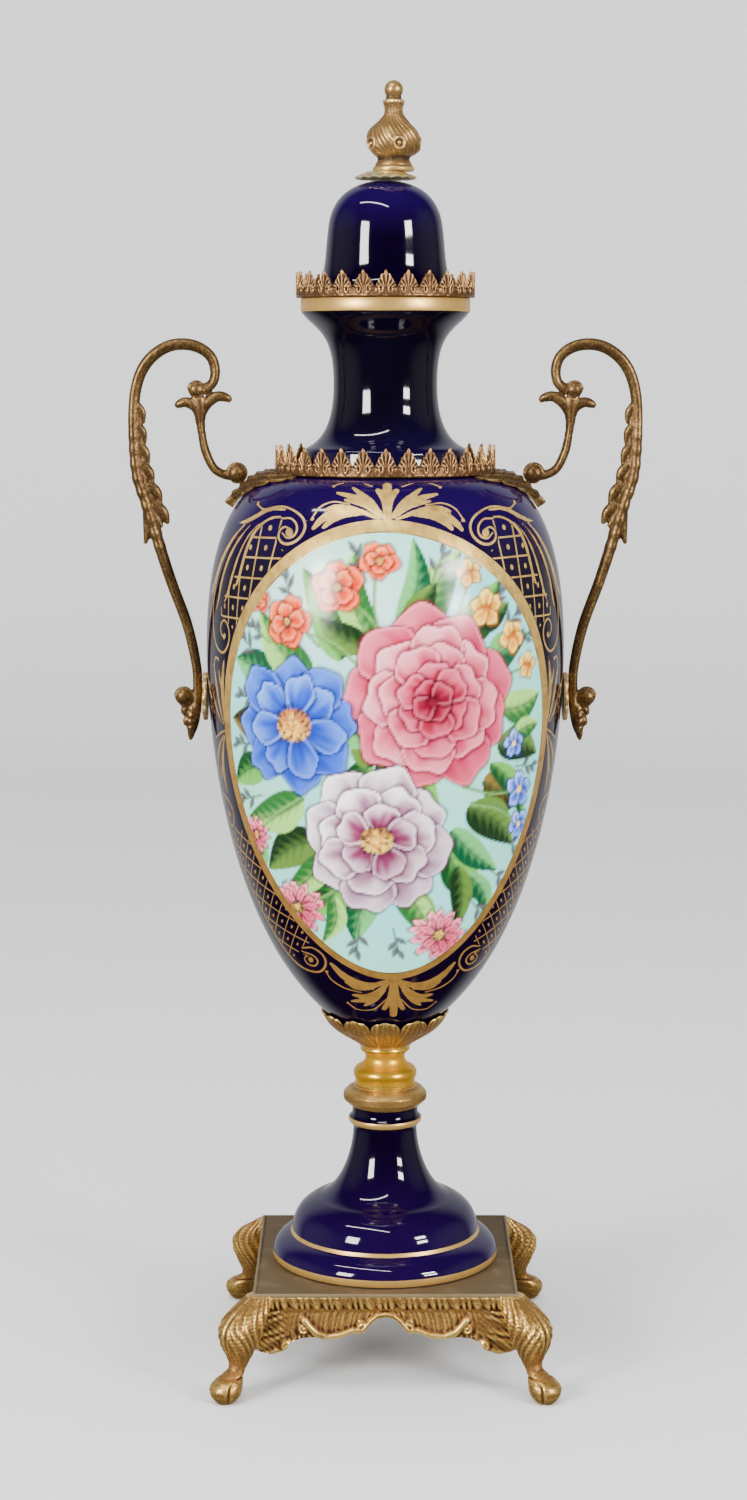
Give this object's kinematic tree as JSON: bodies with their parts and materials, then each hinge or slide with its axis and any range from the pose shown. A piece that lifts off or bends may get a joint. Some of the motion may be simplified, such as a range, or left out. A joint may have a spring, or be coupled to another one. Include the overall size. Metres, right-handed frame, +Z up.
{
  "type": "mantel urn",
  "caption": "Covered porcelain mantel vase on a spreading foot and a footed square plinth, with two scroll handles, pierced galleries and a finial in gilt brass.",
  "frame": {"origin": "on the floor, midway between the plinth's four ball feet, under the vase's axis", "axes": "+Z up along the vase's axis; the painted front faces -Y; the handles lie along X"},
  "size_m": [0.2386, 0.167, 0.6],
  "materials": {
    "cobalt_porcelain": "gloss",
    "gilt_brass": "aged cast gilt",
    "satin_gold": "satin"
  },
  "bodies": {
    "root": {"plinth": "gilt_brass", "foot": "cobalt_porcelain", "stem_collar": "gilt_brass", "stem_spool": "satin_gold", "leaf_cup": "gilt_brass", "body": "cobalt_porcelain", "shoulder_gallery": "gilt_brass", "neck": "cobalt_porcelain", "rim_gallery": "gilt_brass", "lid": "cobalt_porcelain", "finial_rosette": "gilt_brass", "finial": "gilt_brass", "handle_left": "gilt_brass", "handle_right": "gilt_brass", "shoulder_leaf_left": "gilt_brass", "shoulder_leaf_right": "gilt_brass", "handle_rosette_left": "gilt_brass", "handle_rosette_right": "gilt_brass"}
  },
  "joints": []
}
